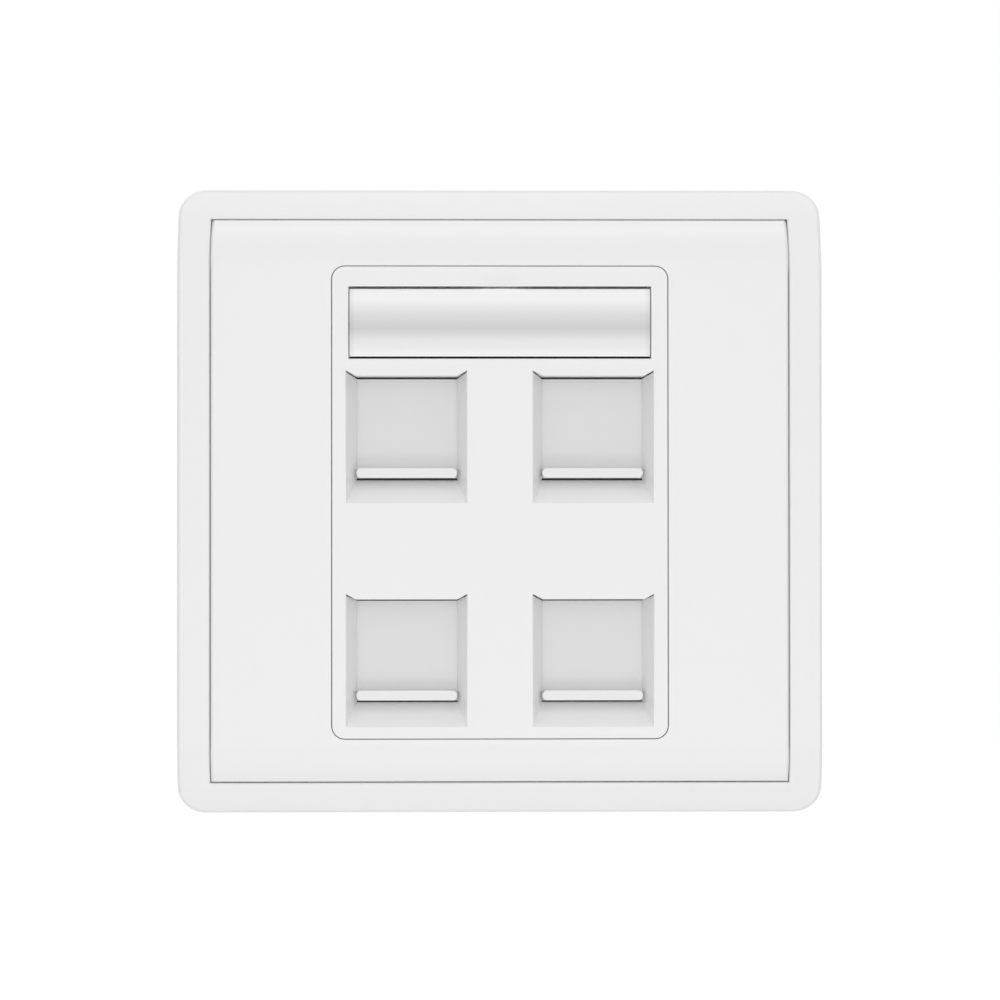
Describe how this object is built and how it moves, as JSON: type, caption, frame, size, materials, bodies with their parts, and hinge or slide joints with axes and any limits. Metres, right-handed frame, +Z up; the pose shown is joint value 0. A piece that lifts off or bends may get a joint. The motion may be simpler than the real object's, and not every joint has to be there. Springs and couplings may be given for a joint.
{
  "type": "keystone faceplate",
  "caption": "Square wall plate for keystone jacks: arched cover on a back frame, insert with sloped port mouths, sprung sliding shutters and a clear label window.",
  "frame": {"origin": "midway between the two wall screws, on the wall plane", "axes": "+X to the right seen from the front, +Z up, +Y into the wall, so the front looks along -Y"},
  "size_m": [0.086, 0.0144, 0.0836],
  "materials": {
    "frame_plastic": "white moulded ABS, satin",
    "cover_plastic": "white moulded polycarbonate, fine satin gloss",
    "insert_plastic": "white moulded polycarbonate, fine satin gloss",
    "shutter_plastic": "white moulded acetal, satin",
    "carrier_plastic": "white moulded ABS, plain",
    "label_paper": "blank white card",
    "window_clear": "clear polycarbonate, glossy",
    "spring_steel": "drawn spring wire",
    "screw_steel": "zinc-plated"
  },
  "bodies": {
    "base": {"back_frame": "frame_plastic", "port_insert": "insert_plastic", "keystone_carrier": "carrier_plastic", "label_strip": "label_paper", "shutter_spring_upper_left": "spring_steel", "shutter_spring_upper_right": "spring_steel", "shutter_spring_lower_left": "spring_steel", "shutter_spring_lower_right": "spring_steel", "carrier_screw_1": "screw_steel", "carrier_screw_2": "screw_steel", "carrier_screw_3": "screw_steel", "carrier_screw_4": "screw_steel"},
    "front_cover": {"front_cover": "cover_plastic"},
    "label_window": {"label_window": "window_clear"},
    "shutter_upper_left": {"shutter_upper_left": "shutter_plastic"},
    "shutter_upper_right": {"shutter_upper_right": "shutter_plastic"},
    "shutter_lower_left": {"shutter_lower_left": "shutter_plastic"},
    "shutter_lower_right": {"shutter_lower_right": "shutter_plastic"}
  },
  "joints": [
    {"name": "front_cover_pull_off", "type": "slide", "parent": "base", "child": "front_cover", "axis": [0, -1, 0], "range_m": [0, 0.015]},
    {"name": "label_window_lift_out", "type": "slide", "parent": "base", "child": "label_window", "axis": [0, -1, 0], "range_m": [0, 0.012]},
    {"name": "shutter_upper_left_slide", "type": "slide", "parent": "base", "child": "shutter_upper_left", "axis": [0, 0, 1], "range_m": [0, 0.0119], "stiffness_N_per_m": 20, "springref_m": -0.01, "deforming": ["shutter_spring_upper_left"]},
    {"name": "shutter_upper_right_slide", "type": "slide", "parent": "base", "child": "shutter_upper_right", "axis": [0, 0, 1], "range_m": [0, 0.0119], "stiffness_N_per_m": 20, "springref_m": -0.01, "deforming": ["shutter_spring_upper_right"]},
    {"name": "shutter_lower_left_slide", "type": "slide", "parent": "base", "child": "shutter_lower_left", "axis": [0, 0, 1], "range_m": [0, 0.0119], "stiffness_N_per_m": 20, "springref_m": -0.01, "deforming": ["shutter_spring_lower_left"]},
    {"name": "shutter_lower_right_slide", "type": "slide", "parent": "base", "child": "shutter_lower_right", "axis": [0, 0, 1], "range_m": [0, 0.0119], "stiffness_N_per_m": 20, "springref_m": -0.01, "deforming": ["shutter_spring_lower_right"]}
  ]
}
